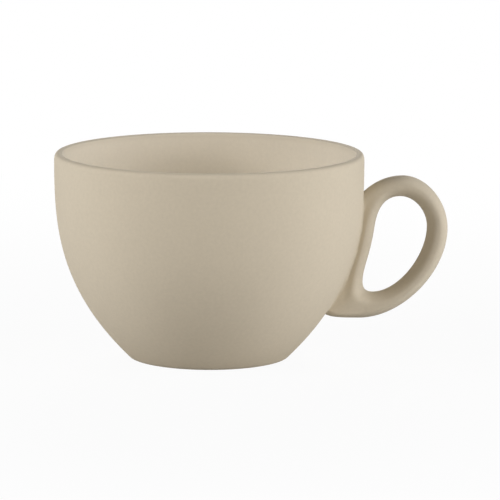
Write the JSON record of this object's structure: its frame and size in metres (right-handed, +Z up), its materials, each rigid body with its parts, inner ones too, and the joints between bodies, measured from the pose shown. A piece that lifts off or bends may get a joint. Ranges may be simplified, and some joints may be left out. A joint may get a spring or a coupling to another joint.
{
  "type": "breakfast cup",
  "caption": "Wide rounded breakfast cup on a small foot ring, with a closed ear-shaped handle stuck along the wall and a plain sand-coloured satin-matt glaze.",
  "frame": {"origin": "centre of the foot ring, on the plane where it touches the table", "axes": "+Z up along the bowl's axis, +X out along the handle, +Y to the bowl's side"},
  "size_m": [0.1398, 0.11, 0.073],
  "materials": {
    "bare_clay": "fired stoneware clay, dry and matt",
    "slip": "fired slip of the same clay, dry and matt",
    "outer_glaze": "sand-coloured satin-matt glaze",
    "inner_glaze": "sand-coloured satin-matt glaze"
  },
  "bodies": {
    "root": {"cup_body": "bare_clay", "handle": "bare_clay", "handle_slip": "slip", "glaze_outside": "outer_glaze", "glaze_inside": "inner_glaze", "glaze_handle": "outer_glaze", "glaze_base": "outer_glaze"}
  },
  "joints": []
}
